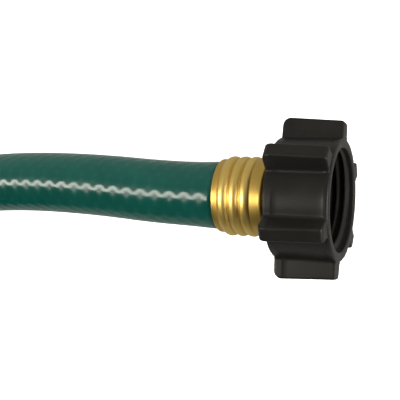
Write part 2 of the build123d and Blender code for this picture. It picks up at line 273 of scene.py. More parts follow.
height = add(tree, MATH, [height, KNIT_HEIGHT], operation="MULTIPLY")
bump = add(tree, "ShaderNodeBump", {"Height": height, "Distance": 1.0, "Strength": 1.0})
patches = add(tree, "ShaderNodeTexNoise", {"Vector": where, "Scale": 90.0, "Detail": 4.0})
green = add(
    tree, "ShaderNodeMix", {0: patches, 6: hex_colour("#013731"), 7: hex_colour("#02473F")}, data_type="RGBA"
)
over_yarn = add(tree, "ShaderNodeMapRange", {0: lattice, 1: 0.2, 2: 1.0, 3: 0.0, 4: 0.25})
cover = add(
    tree,
    "ShaderNodeMix",
    {0: over_yarn, 6: green.outputs[2], 7: hex_colour("#045048")},
    data_type="RGBA",
)
gloss = add(tree, "ShaderNodeMapRange", {0: patches, 1: 0.3, 2: 0.7, 3: 0.16, 4: 0.24})
connect(tree, shader, Base_Color=cover.outputs[2], Roughness=gloss, Normal=bump)
shader.inputs["IOR"].default_value = 1.53
shader.inputs["Specular IOR Level"].default_value = 0.38
print(vinyl.name, "has", len(tree.nodes), "nodes")

# %% [markdown]
# ## Brass
# The ferrules, the insert and the male coupling are machined or drawn brass, bright where the tool went and
# a little olive where it has begun to tarnish, with a painted orange reflection and shade in the grooves
# between the ribs. The turning left fine rings round the axis. Each hose end has its own copy of the finish,
# with a Mapping node that lays the pattern along that end's axis.


# %% Brass
RIBS_END = 10.2 * MM  # from the hose's cut end to the end of the ribs
RIB_CREST_R, GROOVE_R = 10.85 * MM, 10.4 * MM  # between these the painted orange reflection and shade of the grooves fades out


def brass_finish(name, place, turn):
    """Turned brass whose rings go round the axis through a place, turned about Z."""
    material, tree, shader = start_finish(name)
    where = add(
        tree,
        "ShaderNodeMapping",
        {
            "Vector": add(tree, "ShaderNodeTexCoord").outputs["Object"],
            "Location": place,
            "Rotation": (0, 0, turn),
        },
        vector_type="TEXTURE",
    )
    # rings 0.3 mm apart, coarser than the real ones so that they show, nearly unbroken round the axis
    squeezed = add(tree, "ShaderNodeVectorMath", [where, (3300.0, 45.0, 45.0)], operation="MULTIPLY")
    rings = add(tree, "ShaderNodeTexNoise", {"Vector": squeezed, "Scale": 1.0, "Detail": 2.0})
    patches = add(tree, "ShaderNodeTexNoise", {"Vector": where, "Scale": 260.0, "Detail": 4.0})
    parts = add(tree, "ShaderNodeSeparateXYZ", [where])
    # the front of the ferrule was not rubbed by the tool and is greener
    plain = add(
        tree,
        "ShaderNodeMapRange",
        {0: parts.outputs["X"], 1: RIBS_END, 2: RIBS_END + 1.2 * MM, 3: 0.0, 4: 0.55},
    )
    height_squared = add(tree, MATH, [parts.outputs["Z"], parts.outputs["Z"]], operation="MULTIPLY")
    width_squared = add(tree, MATH, [parts.outputs["Y"], parts.outputs["Y"]], operation="MULTIPLY")
    from_axis = add(
        tree, MATH, [add(tree, MATH, [height_squared, width_squared], operation="ADD")], operation="SQRT"
    )
    # the grooves get a painted orange reflection and shade, which is not a colour the brass has
    painted_groove_reflection = add(
        tree, "ShaderNodeMapRange", {0: from_axis, 1: RIB_CREST_R, 2: GROOVE_R, 3: 0.0, 4: 0.6}
    )
    bright = add(
        tree,
        "ShaderNodeMix",
        {0: patches, 6: hex_colour("#E8C262"), 7: hex_colour("#F4D787")},
        data_type="RGBA",
    )
    olive = add(
        tree,
        "ShaderNodeMix",
        {0: plain, 6: bright.outputs[2], 7: hex_colour("#C6BC6A")},
        data_type="RGBA",
    )
    # mixes the painted orange reflection and shade into the grooves
    with_painted_groove_reflection = add(
        tree,
        "ShaderNodeMix",
        {0: painted_groove_reflection, 6: olive.outputs[2], 7: hex_colour("#C39A48")},
        data_type="RGBA",
    )
    sheen = add(tree, "ShaderNodeMapRange", {0: rings, 1: 0.3, 2: 0.7, 3: 0.34, 4: 0.5})
    height = add(tree, MATH, [rings, 0.012 * MM], operation="MULTIPLY")
    bump = add(tree, "ShaderNodeBump", {"Height": height, "Distance": 1.0, "Strength": 1.0})
    connect(tree, shader, Base_Color=with_painted_groove_reflection.outputs[2], Roughness=sheen, Normal=bump)
    shader.inputs["Metallic"].default_value = 1.0
    print(material.name, "has", len(tree.nodes), "nodes")
    return material


near_brass = brass_finish("turned_brass_near", (HOSE_FACE_X, 0, AXIS_Z), 0.0)
far_brass = brass_finish("turned_brass_far", tuple(far_face), math.atan2(far_heading.y, far_heading.x))

# %% [markdown]
# ## Moulded plastic
# The nut is black polypropylene, injection moulded in a spark-eroded mould. That gives it a satin skin with
# a very fine grain and slow, soft changes of gloss where the melt flowed. It is never quite black: the skin
# scatters a little light, warm in tone.

# %% Moulded plastic
plastic, tree, shader = start_finish("moulded_polypropylene")
where = add(tree, "ShaderNodeTexCoord").outputs["Object"]
grain = add(tree, "ShaderNodeTexNoise", {"Vector": where, "Scale": 2600.0, "Detail": 2.0})
flow = add(tree, "ShaderNodeTexNoise", {"Vector": where, "Scale": 120.0, "Detail": 3.0})
black = add(
    tree, "ShaderNodeMix", {0: flow, 6: hex_colour("#141312"), 7: hex_colour("#1A1817")}, data_type="RGBA"
)
satin = add(tree, "ShaderNodeMapRange", {0: flow, 1: 0.3, 2: 0.7, 3: 0.34, 4: 0.46})
height = add(tree, MATH, [grain, 0.012 * MM], operation="MULTIPLY")
bump = add(tree, "ShaderNodeBump", {"Height": height, "Distance": 1.0, "Strength": 1.0})
connect(tree, shader, Base_Color=black.outputs[2], Roughness=satin, Normal=bump)
shader.inputs["IOR"].default_value = 1.49
shader.inputs["Specular IOR Level"].default_value = 0.2
print(plastic.name, "has", len(tree.nodes), "nodes")

# %% [markdown]
# ## Rubber, yarn, liner and strap
# The washer is black moulded rubber, matt and faintly dusty. Inside the ferrules the yarn is white knitted
# polyester, and the liner is dull extruded vinyl. The straps are hook-and-loop tape: woven nylon that shows
# its ribs and a soft pile.

# %% Rubber
rubber, tree, shader = start_finish("moulded_rubber")
where = add(tree, "ShaderNodeTexCoord").outputs["Object"]
dust = add(tree, "ShaderNodeTexNoise", {"Vector": where, "Scale": 700.0, "Detail": 4.0})
shade = add(
    tree, "ShaderNodeMix", {0: dust, 6: hex_colour("#141414"), 7: hex_colour("#262624")}, data_type="RGBA"
)
matt = add(tree, "ShaderNodeMapRange", {0: dust, 1: 0.3, 2: 0.7, 3: 0.62, 4: 0.8})
height = add(tree, MATH, [dust, 0.03 * MM], operation="MULTIPLY")
bump = add(tree, "ShaderNodeBump", {"Height": height, "Distance": 1.0, "Strength": 1.0})
connect(tree, shader, Base_Color=shade.outputs[2], Roughness=matt, Normal=bump)
shader.inputs["IOR"].default_value = 1.52
print(rubber.name, "has", len(tree.nodes), "nodes")

# %% Yarn and liner
yarn, tree, shader = start_finish("knitted_polyester")
where = add(tree, "ShaderNodeTexCoord").outputs["Object"]
strands = add(
    tree,
    "ShaderNodeTexWave",
    {"Vector": where, "Scale": 230.0, "Distortion": 2.0},
    bands_direction="DIAGONAL",
)
white = add(
    tree, "ShaderNodeMix", {0: strands, 6: hex_colour("#B9B7AC"), 7: hex_colour("#E9E8E0")}, data_type="RGBA"
)
height = add(tree, MATH, [strands, 0.1 * MM], operation="MULTIPLY")
bump = add(tree, "ShaderNodeBump", {"Height": height, "Distance": 1.0, "Strength": 1.0})
connect(tree, shader, Base_Color=white.outputs[2], Normal=bump)
shader.inputs["Roughness"].default_value = 0.75
liner, tree, shader = start_finish("extruded_vinyl")
where = add(tree, "ShaderNodeTexCoord").outputs["Object"]
drag = add(tree, "ShaderNodeTexNoise", {"Vector": where, "Scale": 500.0, "Detail": 2.0})
dark = add(
    tree, "ShaderNodeMix", {0: drag, 6: hex_colour("#1B1C1B"), 7: hex_colour("#2A2C2A")}, data_type="RGBA"
)
dull = add(tree, "ShaderNodeMapRange", {0: drag, 1: 0.3, 2: 0.7, 3: 0.45, 4: 0.6})
connect(tree, shader, Base_Color=dark.outputs[2], Roughness=dull)
print(yarn.name, "and", liner.name, "made")

# %% Strap tape and thread
RIB_OF_TAPE = 0.9 * MM  # real ribs are 0.5 mm apart, and are drawn coarser so that they show
tape, tree, shader = start_finish("woven_nylon_tape")
place = add(tree, "ShaderNodeSeparateXYZ", [add(tree, "ShaderNodeUVMap", uv_map="along_and_across")])
waves = []
for output, loop in (("X", RIB_OF_TAPE), ("Y", RIB_OF_TAPE * 2)):
    turn = add(tree, MATH, [place.outputs[output], 2 * math.pi / loop], operation="MULTIPLY")
    waves.append(add(tree, MATH, [turn], operation="SINE"))
weave = add(tree, MATH, waves, operation="MULTIPLY")
fuzz = add(
    tree,
    "ShaderNodeTexNoise",
    {"Vector": add(tree, "ShaderNodeTexCoord").outputs["Object"], "Scale": 1500.0, "Detail": 4.0},
)
height = add(tree, MATH, [add(tree, MATH, [weave, fuzz], operation="ADD"), 0.08 * MM], operation="MULTIPLY")
bump = add(tree, "ShaderNodeBump", {"Height": height, "Distance": 1.0, "Strength": 1.0})
shade = add(
    tree, "ShaderNodeMix", {0: fuzz, 6: hex_colour("#121213"), 7: hex_colour("#2C2C2E")}, data_type="RGBA"
)
connect(tree, shader, Base_Color=shade.outputs[2], Normal=bump)
shader.inputs["Roughness"].default_value = 0.85
shader.inputs["Sheen Weight"].default_value = 0.4
shader.inputs["Sheen Roughness"].default_value = 0.5
thread, tree, shader = start_finish("polyester_thread")
where = add(tree, "ShaderNodeTexCoord").outputs["Object"]
twist = add(tree, "ShaderNodeTexNoise", {"Vector": where, "Scale": 3000.0, "Detail": 1.0})
grey = add(
    tree, "ShaderNodeMix", {0: twist, 6: hex_colour("#3A3A3C"), 7: hex_colour("#56565A")}, data_type="RGBA"
)
connect(tree, shader, Base_Color=grey.outputs[2])
shader.inputs["Roughness"].default_value = 0.6
print(tape.name, "and", thread.name, "made")

# %% [markdown]
# ## The hose
# The hose is a tube of vinyl over knitted yarn. A curve with a bevel would do for its shape, but its surface
# has a pattern that must follow its length, so the tube is built ring by ring along the path, and a UV map
# in metres goes along it and around it. It swells a little where the inserts are expanded inside it.

# %% Hose
HOSE_SIDES = 64
SWELL = 0.36 * MM  # how far the hose swells at a ferrule
SWELL_LENGTH = 4.5 * MM
tangents = []
for k in range(len(path)):
    tangents.append((path[min(k + 1, len(path) - 1)] - path[max(k - 1, 0)]).normalized())
rings = []
side = Vector((0, 0, 1)).cross(tangents[0]).normalized()
for place, tangent, length in zip(path, tangents, along):
    side = (side - tangent * side.dot(tangent)).normalized()
    up = tangent.cross(side)
    from_end = min(length, along[-1] - length)
    radius = HOSE_R + SWELL * math.exp(-((from_end / SWELL_LENGTH) ** 2) / 2)
    for k in range(HOSE_SIDES):
        angle = 2 * math.pi * k / HOSE_SIDES
        rings.append(place + (side * math.cos(angle) + up * math.sin(angle)) * radius)
hose_faces = ring_faces(len(path), HOSE_SIDES)
hose_faces.append(tuple(range(HOSE_SIDES)))
hose_faces.append(tuple(range(len(rings) - HOSE_SIDES, len(rings))))
hose_mesh = bpy.data.meshes.new("hose")
hose_mesh.from_pydata([tuple(p) for p in rings], [], hose_faces)
around_length = 2 * math.pi * HOSE_R
uv = hose_mesh.uv_layers.new(name="along_and_around")
for polygon in hose_mesh.polygons:
    columns = [hose_mesh.loops[i].vertex_index % HOSE_SIDES for i in polygon.loop_indices]
    wraps = max(columns) - min(columns) > HOSE_SIDES / 2
    for i, column in zip(polygon.loop_indices, columns):
        row = hose_mesh.loops[i].vertex_index // HOSE_SIDES
        turned = column + HOSE_SIDES if wraps and column == 0 else column
        uv.data[i].uv = (along[row], turned / HOSE_SIDES * around_length)
turn_outwards(hose_mesh)
hose_mesh.shade_smooth()
hose = bpy.data.objects.new("hose", hose_mesh)
scene.collection.objects.link(hose)
hand_over(hose, "hose", "hose_cover", "hose_run", "hose_coil", "hose_tail")

# %% [markdown]
# ## The ferrule
# The ferrule is a thin brass shell that was slid over the hose and then squeezed from inside, when the
# insert was expanded against it: three ribs, a rolled rim and a rounded front. Its outline follows one rule,
# so Geometry Nodes work it out: a grid is bent round the axis, and each point's radius comes from its place
# along the shell. The same tree makes the ferrule at either end of the hose.

# %% Sizes of the ferrule
ferrule_sizes = {
    "Start": -0.8 * MM,  # the rim reaches this far over the hose
    "End": 13.7 * MM,
    "Body Radius": 10.4 * MM,
    "Rim Radius": 10.2 * MM,
    "Rim End": 0.9 * MM,
    "First Rib": 2.55 * MM,
    "Rib Pitch": 3.1 * MM,
    "Rib Half Width": 1.4 * MM,
    "Rib Height": 0.65 * MM,
    "Corner": 0.8 * MM,
    "Roll": 0.35 * MM,
    "Wall": 0.7 * MM,
    "Ribs": 3,
    "Sides": 120,
    "Rows": 240,
}


# %% Starting and ending a geometry tree
def start_tree(name, sizes):
    """A geometry tree with one named input for each size and one for its material."""
    tree = bpy.data.node_groups.new(name, "GeometryNodeTree")
    tree.interface.new_socket("Geometry", in_out="OUTPUT", socket_type="NodeSocketGeometry")
    tree.interface.new_socket("Geometry", in_out="INPUT", socket_type="NodeSocketGeometry")
    for size_name, value in sizes.items():
        kind = "NodeSocketInt" if isinstance(value, int) else "NodeSocketFloat"
        tree.interface.new_socket(size_name, in_out="INPUT", socket_type=kind).default_value = value
    tree.interface.new_socket("Material", in_out="INPUT", socket_type="NodeSocketMaterial")
    return tree, tree.nodes.new("NodeGroupInput").outputs


def end_tree(tree, geometry, given):
    """Realize the geometry, give it its material and put it out."""
    real = add(tree, "GeometryNodeRealizeInstances", {"Geometry": geometry})
    done = add(tree, "GeometryNodeSetMaterial", {"Geometry": real, "Material": given["Material"]})
    add(tree, "NodeGroupOutput", {"Geometry": done})
    print(tree.name, "has", len(tree.nodes), "nodes")


# %% Ferrule tree: places along the shell
shell_tree, given = start_tree("crimped_shell", ferrule_sizes)
grid = add(
    shell_tree,
    "GeometryNodeMeshGrid",
    {"Size X": 1.0, "Size Y": 1.0, "Vertices X": given["Rows"], "Vertices Y": given["Sides"]},
)
place = add(shell_tree, "ShaderNodeSeparateXYZ", [add(shell_tree, "GeometryNodeInputPosition")])
# 0 to 1 goes along the outside, and 1 to 2 comes back along the inside
half_way = add(shell_tree, MATH, [place.outputs["X"], 0.5], operation="ADD")
there_and_back = add(shell_tree, MATH, [half_way, 2.0], operation="MULTIPLY")
coming_back = add(shell_tree, MATH, [there_and_back, 1.0], operation="GREATER_THAN")
# the first row lies on the last one, which closes the shell at its rim
first_row = add(shell_tree, MATH, [there_and_back, 0.001], operation="LESS_THAN")
inside = add(shell_tree, MATH, [coming_back, first_row], operation="ADD")
share = add(shell_tree, MATH, [there_and_back, 1.0], operation="PINGPONG")
x = add(shell_tree, "ShaderNodeMapRange", {0: share, 3: given["Start"], 4: given["End"]})

# %% Ferrule tree: rim and ribs
rib_start = add(shell_tree, MATH, [given["First Rib"], given["Rib Half Width"]], operation="SUBTRACT")
body = add(
    shell_tree,
    "ShaderNodeMapRange",
    {0: x, 1: given["Rim End"], 2: rib_start, 3: given["Rim Radius"], 4: given["Body Radius"]},
)
# a rib is an arc: its radius follows from its height and half its width
half_squared = add(shell_tree, MATH, [given["Rib Half Width"], 2.0], operation="POWER")
height_squared = add(shell_tree, MATH, [given["Rib Height"], 2.0], operation="POWER")
both = add(shell_tree, MATH, [half_squared, height_squared], operation="ADD")
twice_height = add(shell_tree, MATH, [given["Rib Height"], 2.0], operation="MULTIPLY")
arc = add(shell_tree, MATH, [both, twice_height], operation="DIVIDE")
half_pitch = add(shell_tree, MATH, [given["Rib Pitch"], 0.5], operation="MULTIPLY")
minus_half_pitch = add(shell_tree, MATH, [half_pitch, -1.0], operation="MULTIPLY")
from_first = add(shell_tree, MATH, [x, given["First Rib"]], operation="SUBTRACT")
to_crest = add(shell_tree, MATH, [from_first, half_pitch, minus_half_pitch], operation="WRAP")
arc_squared = add(shell_tree, MATH, [arc, 2.0], operation="POWER")
crest_squared = add(shell_tree, MATH, [to_crest, to_crest], operation="MULTIPLY")
rise_squared = add(shell_tree, MATH, [arc_squared, crest_squared], operation="SUBTRACT")
rise_squared = add(shell_tree, MATH, [rise_squared, 0.0], operation="MAXIMUM")
rise = add(shell_tree, MATH, [rise_squared], operation="SQRT")
arc_centre = add(shell_tree, MATH, [arc, given["Rib Height"]], operation="SUBTRACT")
bulge = add(shell_tree, MATH, [rise, arc_centre], operation="SUBTRACT")
bulge = add(shell_tree, MATH, [bulge, 0.0], operation="MAXIMUM")
ribs_end = add(shell_tree, MATH, [given["Ribs"], 0.5], operation="SUBTRACT")
ribs_end = add(shell_tree, MATH, [ribs_end, given["Rib Pitch"]], operation="MULTIPLY")
before_end = add(shell_tree, MATH, [from_first, ribs_end], operation="LESS_THAN")
after_start = add(shell_tree, MATH, [from_first, minus_half_pitch], operation="GREATER_THAN")
on_ribs = add(shell_tree, MATH, [before_end, after_start], operation="MULTIPLY")
ribbed = add(shell_tree, MATH, [bulge, on_ribs, body], operation="MULTIPLY_ADD")

# %% Ferrule tree: rounded ends, wall and the bend round the axis
radius = ribbed
for end, round_size in (("End", "Corner"), ("Start", "Roll")):
    gap = add(shell_tree, MATH, [x, given[end]], operation="SUBTRACT")
    gap = add(shell_tree, MATH, [gap], operation="ABSOLUTE")
    left = add(shell_tree, MATH, [given[round_size], gap], operation="SUBTRACT")
    left = add(shell_tree, MATH, [left, 0.0], operation="MAXIMUM")
    left_squared = add(shell_tree, MATH, [left, left], operation="MULTIPLY")
    round_squared = add(shell_tree, MATH, [given[round_size], given[round_size]], operation="MULTIPLY")
    kept = add(shell_tree, MATH, [round_squared, left_squared], operation="SUBTRACT")
    kept = add(shell_tree, MATH, [add(shell_tree, MATH, [kept, 0.0], operation="MAXIMUM")], operation="SQRT")
    lost = add(shell_tree, MATH, [given[round_size], kept], operation="SUBTRACT")
    radius = add(shell_tree, MATH, [radius, lost], operation="SUBTRACT")
wall = add(shell_tree, MATH, [inside, given["Wall"]], operation="MULTIPLY")
radius = add(shell_tree, MATH, [radius, wall], operation="SUBTRACT")
angle = add(shell_tree, MATH, [place.outputs["Y"], 2 * math.pi], operation="MULTIPLY")
y = add(shell_tree, MATH, [radius, add(shell_tree, MATH, [angle], operation="COSINE")], operation="MULTIPLY")
z = add(shell_tree, MATH, [radius, add(shell_tree, MATH, [angle], operation="SINE")], operation="MULTIPLY")
bent = add(shell_tree, "ShaderNodeCombineXYZ", [x, y, z])
shell = add(shell_tree, "GeometryNodeSetPosition", {"Geometry": grid, "Position": bent})
closed = add(shell_tree, "GeometryNodeMergeByDistance", {"Geometry": shell, "Distance": 0.002 * MM})
end_tree(shell_tree, closed, given)


# %% Run a tree
def run_tree(name, tree, material, start=None, **sizes):
    """The mesh that a tree makes, as plain data, with the tree's inputs set by their identifiers."""
    holder = bpy.data.objects.new(name, start or bpy.data.meshes.new(name + "_start"))
    scene.collection.objects.link(holder)
    modifier = holder.modifiers.new("shape", "NODES")
    modifier.node_group = tree
    for socket in tree.interface.items_tree:
        if socket.in_out == "INPUT" and socket.name in sizes:
            modifier[socket.identifier] = sizes[socket.name]
        if socket.in_out == "INPUT" and socket.name == "Material":
            modifier[socket.identifier] = material
    evaluated = holder.evaluated_get(bpy.context.evaluated_depsgraph_get())
    mesh = bpy.data.meshes.new_from_object(evaluated)
    bpy.data.objects.remove(holder)
    mesh.name = name
    turn_outwards(mesh)
    mesh.shade_smooth()
    return mesh


def mesh_piece(mesh, matrix=Matrix()):
    """An object for a mesh, with its place in its points."""
    mesh.transform(matrix)
    piece = bpy.data.objects.new(mesh.name, mesh)
    scene.collection.objects.link(piece)
    return piece


near_place = Matrix.Translation((HOSE_FACE_X, 0, AXIS_Z))
far_side = Vector((0, 0, 1)).cross(far_heading)
far_place = Matrix.Translation(far_face) @ Matrix((far_heading, far_side, (0, 0, 1))).transposed().to_4x4()
print("far end's place:", [round(v, 4) for v in far_place.translation])

# %% Ferrules
ferrule = mesh_piece(run_tree("crimped_ferrule", shell_tree, near_brass), near_place)
hand_over(ferrule, "hose", "brass", "ferrule")
far_ferrule = mesh_piece(run_tree("crimped_ferrule_far", shell_tree, far_brass), far_place)
hand_over(far_ferrule, "hose", "brass", "far_ferrule")
print("ferrule:", len(ferrule.data.polygons), "faces")

# %% [markdown]
# ## The swivel nut
# The nut is one moulding: a round body, six tapered wings to turn it by, a raised band round its rear and a
# ring round its mouth. It could be cut from solids with boolean operations, but its look comes from its soft
# edges, which those lose. Here its outline is worked out at each step along the axis, always with the same
# number of points, and the outlines are joined into one skin that turns in at the mouth, runs through the
# inside and comes back to where it began.

# %% Sizes of the nut, in millimetres along its hose end's axis
NUT_REAR, NUT_FRONT = 15.8, 33.0
NUT_R, NUT_RIM_R = 16.3, 16.45
WING_REAR_R, WING_FRONT_R = 21.95, 21.1
WING_ROOT_HALF, WING_TIP_HALF = 2.6, 2.1
WING_COUNT = 6
BAND_LENGTH, BAND_PROUD = 2.4, 0.12
EDGE_ROUND = 0.55
TIP_ROUND, ROOT_ROUND = 0.75, 0.9
REAR_CORNER, FRONT_CORNER = 2.2, 0.9
BAND_STEP = (BAND_LENGTH - 0.15, BAND_LENGTH + 0.3)  # where the band's soft edge begins and ends
RING_STEP = (15.35, 15.65)  # where the ring round the mouth rises from the body
RING_ROUND = 0.7
WINGS_SETBACK = 0.35  # the wings end this far behind the mouth
WINGS_FRONT = NUT_FRONT - WINGS_SETBACK
print("nut is", NUT_FRONT - NUT_REAR, "mm long")


# %% The nut's outline
def arc_points(centre, radius, first, last, count):
    """Points on an arc, from one angle to another in degrees."""
    angles = [math.radians(first + (last - first) * k / (count - 1)) for k in range(count)]
    return [(centre[0] + radius * math.cos(a), centre[1] + radius * math.sin(a)) for a in angles]


def nut_outline(body_r, tip_r, shrink):
    """The outline of the body and its wings, drawn in by shrink all round."""
    taper = (WING_ROOT_HALF - WING_TIP_HALF) / (WING_REAR_R - NUT_R)
    tip_half = WING_TIP_HALF + (WING_REAR_R - tip_r) * taper - shrink
    tip_round, root_round = max(TIP_ROUND - shrink, 0.15), ROOT_ROUND + shrink
    root_half = tip_half + (tip_r - body_r) * taper
    lean = math.degrees(math.atan(taper))
    corner = (tip_r - tip_round, tip_half - tip_round)
    hollow_y = root_half + root_round
    hollow = (math.sqrt((body_r + root_round) ** 2 - hollow_y**2), hollow_y)
    landing = math.degrees(math.atan2(hollow[1], hollow[0]))
    half = [(tip_r, corner[1] * share) for share in (0.0, 0.5)]
    half += arc_points(corner, tip_round, 0, 90 - lean, 7)
    start = half[-1]
    fillet_points = arc_points(hollow, root_round, -90 - lean, landing - 180, 8)
    for share in (0.25, 0.5, 0.75):
        half.append(tuple(a + (b - a) * share for a, b in zip(start, fillet_points[0])))
    half += fillet_points
    half += arc_points((0, 0), body_r, landing, 180 / WING_COUNT, 9)[1:]
    sector = [(px, -py) for px, py in reversed(half[1:-1])] + half
    points = []
    for wing in range(WING_COUNT):
        turn = 2 * math.pi * wing / WING_COUNT
        for px, py in sector:
            points.append(
                (px * math.cos(turn) - py * math.sin(turn), px * math.sin(turn) + py * math.cos(turn))
            )
    return points


def rounded_in(distance, radius):
    """How far a round of this radius has drawn in at a distance from the end."""
    left = min(max(radius - distance, 0), radius)
    return radius - math.sqrt(radius * radius - left * left)


print("points in the nut's outline:", len(nut_outline(NUT_R, WING_REAR_R, 0)))

# %% Rows of the nut's skin
steps = [0, 0.03, 0.1, 0.2, 0.35, EDGE_ROUND, 0.8, 1.1, 1.45, 1.8, REAR_CORNER, 2.35, 2.45, 2.55, 2.7]
steps += [4, 6, 8, 10, 12, 14, 15.3, 15.4, 15.5, 15.6, 15.95, 16.2, 16.4, 16.6, 16.72, 16.8, 16.85]
rows = []
for step in steps:
    to_front = WINGS_FRONT - NUT_REAR - step
    shrink = rounded_in(step, EDGE_ROUND) + 0.7 * rounded_in(to_front, EDGE_ROUND)
    shrink += BAND_PROUD * smooth_step(*BAND_STEP, step)
    body_r = NUT_R + BAND_PROUD - rounded_in(step, EDGE_ROUND)
    body_r -= BAND_PROUD * smooth_step(*BAND_STEP, step)
    body_r += (NUT_RIM_R - NUT_R) * smooth_step(*RING_STEP, step)
    body_r -= rounded_in(to_front + WINGS_SETBACK, RING_ROUND)
    tip_r = WING_REAR_R + (WING_FRONT_R - WING_REAR_R) * step / (WINGS_FRONT - NUT_REAR)
    tip_r -= rounded_in(step, REAR_CORNER) + rounded_in(to_front, FRONT_CORNER)
    rows.append([(NUT_REAR + step, py, pz) for py, pz in nut_outline(body_r, tip_r, shrink)])
angles = [math.atan2(pz, py) for px, py, pz in rows[-1]]
rear_angles = [math.atan2(pz, py) for px, py, pz in rows[0]]
# the rest is turned: the ring, the mouth, the thread's wall, the washer's seat and the rear wall
turned = [(WINGS_FRONT, 16.36), (32.8, 16.27), (32.93, 16.1), (33.0, 15.8), (33.0, 14.6), (32.96, 14.3)]
turned += [(32.85, 14.08), (32.7, 13.93), (32.5, 13.9), (31.6, 13.9), (31.55, 13.6), (28.0, 13.6)]
turned += [(23.85, 13.6), (23.8, 12.95), (18.55, 12.95), (18.5, 12.7), (18.5, 9.3), (18.3, 9.02)]
for px, radius in turned:
    rows.append([(px, radius * math.cos(a), radius * math.sin(a)) for a in angles])
for px, radius in [(16.2, 9.02), (15.9, 9.1), (15.8, 9.4), (15.8, 12.5)]:
    rows.append([(px, radius * math.cos(a), radius * math.sin(a)) for a in rear_angles])
nut_points = [Vector(point) * MM for row in rows for point in row]
print("rows:", len(rows))

# %% [markdown]
# ## Thread
# The nut has a garden hose thread inside, 11.5 turns to the inch, moulded with it. A ridge that follows a
# helix is a natural job for Geometry Nodes: a spiral curve carries a trapezoid along it, and the trapezoid
# shrinks at both ends, as a real thread runs out. The male coupling keeps the thread of its CAD model.

# %% Thread tree
thread_sizes = {
    "Wall Radius": 13.7 * MM,
    "Pitch": 25.4 / 11.5 * MM,
    "Turns": 3.3,
    "Height": 1.4 * MM,
    "Crest": 0.35 * MM,
    "Base": 1.9 * MM,
    "Direction": -1.0,  # -1 for a ridge that points inwards, 1 for outwards
    "Run Out": 0.06,
}
thread_tree, given = start_tree("screw_thread", thread_sizes)
rise = add(thread_tree, MATH, [given["Pitch"], given["Turns"]], operation="MULTIPLY")
helix = add(
    thread_tree,
    "GeometryNodeCurveSpiral",
    {
        "Resolution": 96,
        "Rotations": given["Turns"],
        "Start Radius": given["Wall Radius"],
        "End Radius": given["Wall Radius"],
        "Height": rise,
        "Reverse": True,
    },
)
upright = add(thread_tree, "GeometryNodeSetCurveNormal", {"Curve": helix}, mode="Z_UP")
factor = add(thread_tree, "GeometryNodeSplineParameter").outputs["Factor"]
to_end = add(thread_tree, MATH, [factor, 0.5], operation="PINGPONG")
full = add(thread_tree, "ShaderNodeMapRange", {0: to_end, 1: 0.0, 2: given["Run Out"], 3: 0.05, 4: 1.0})
section = add(
    thread_tree,
    "GeometryNodeCurvePrimitiveQuadrilateral",
    {"Height": given["Height"], "Bottom Width": given["Base"], "Top Width": given["Crest"], "Offset": 0.0},
    mode="TRAPEZOID",
)
quarter = add(thread_tree, MATH, [given["Direction"], -math.pi / 2], operation="MULTIPLY")
shift = add(thread_tree, MATH, [given["Height"], 0.5], operation="MULTIPLY")
shift = add(thread_tree, MATH, [shift, given["Direction"]], operation="MULTIPLY")
laid = add(
    thread_tree,
    "GeometryNodeTransform",
    {
        "Geometry": section,
        "Translation": add(thread_tree, "ShaderNodeCombineXYZ", [shift, 0.0, 0.0]),
        "Rotation": add(thread_tree, "ShaderNodeCombineXYZ", [0.0, 0.0, quarter]),
    },
)
ridge = add(
    thread_tree,
    "GeometryNodeCurveToMesh",
    {"Curve": upright, "Profile Curve": laid, "Scale": full, "Fill Caps": True},
)
on_axis = add(thread_tree, "GeometryNodeTransform", {"Geometry": ridge, "Rotation": (0, math.pi / 2, 0)})
end_tree(thread_tree, on_axis, given)

# %% Nut and its thread as one piece
THREAD_START = 24.0 * MM
skin = mesh_object("nut_skin", nut_points, ring_faces(len(rows), len(rows[0]), closed=True))
nut_thread = run_tree("nut_thread", thread_tree, plastic)
nut_thread.transform(Matrix.Translation((THREAD_START, 0, 0)))
radii = [vertex.co.yz.length for vertex in nut_thread.vertices]
thread_length = max(vertex.co.x for vertex in nut_thread.vertices) - THREAD_START
print("thread from radius", round(min(radii), 5), "to", round(max(radii), 5))
print("thread's length:", round(thread_length, 5))
whole = bmesh.new()
whole.from_mesh(skin.data)
whole.from_mesh(nut_thread)
whole.to_mesh(skin.data)
whole.free()
skin.data.materials.clear()
skin.data.materials.append(plastic)
skin.data.shade_smooth()
skin.data.set_sharp_from_angle(angle=math.radians(35))
skin.data.transform(near_place)
skin.name = "moulded_nut"
hand_over(skin, "nut", "nut_plastic", "swivel_nut")
print("nut faces:", len(skin.data.polygons))

# %% [markdown]
# ## Straps
# The put-away coil is held by two hook-and-loop straps. A strap is one ribbon wound a little more than once
# round the hoses, with its end pressed on its own back, so it is drawn like that: a path that goes round the
# bundle and steps outwards where it meets itself. Stitches hold the ribbon's hem, and a tree sets them along
# both of its edges.

# %% Path of a strap round the bundle
STRAP_THICK, STRAP_HALF_WIDTH = 0.62 * MM, 9.8 * MM
STRAP_GAP = 0.27 * MM  # between the strap and the hoses
STRAP_TURNS = 1.3  # how far the strap goes round
LAP_GAP, LAP_RISE = 0.05 * MM, 5 * MM  # it rises over this length to lie this far off its own back
STRAP_START = -60  # degrees round the bundle, from level and outwards
OUTLINE_STEPS = 720
low_pair = [(INNER_TURN_R, COIL_Z), (OUTER_TURN_R, COIL_Z)]


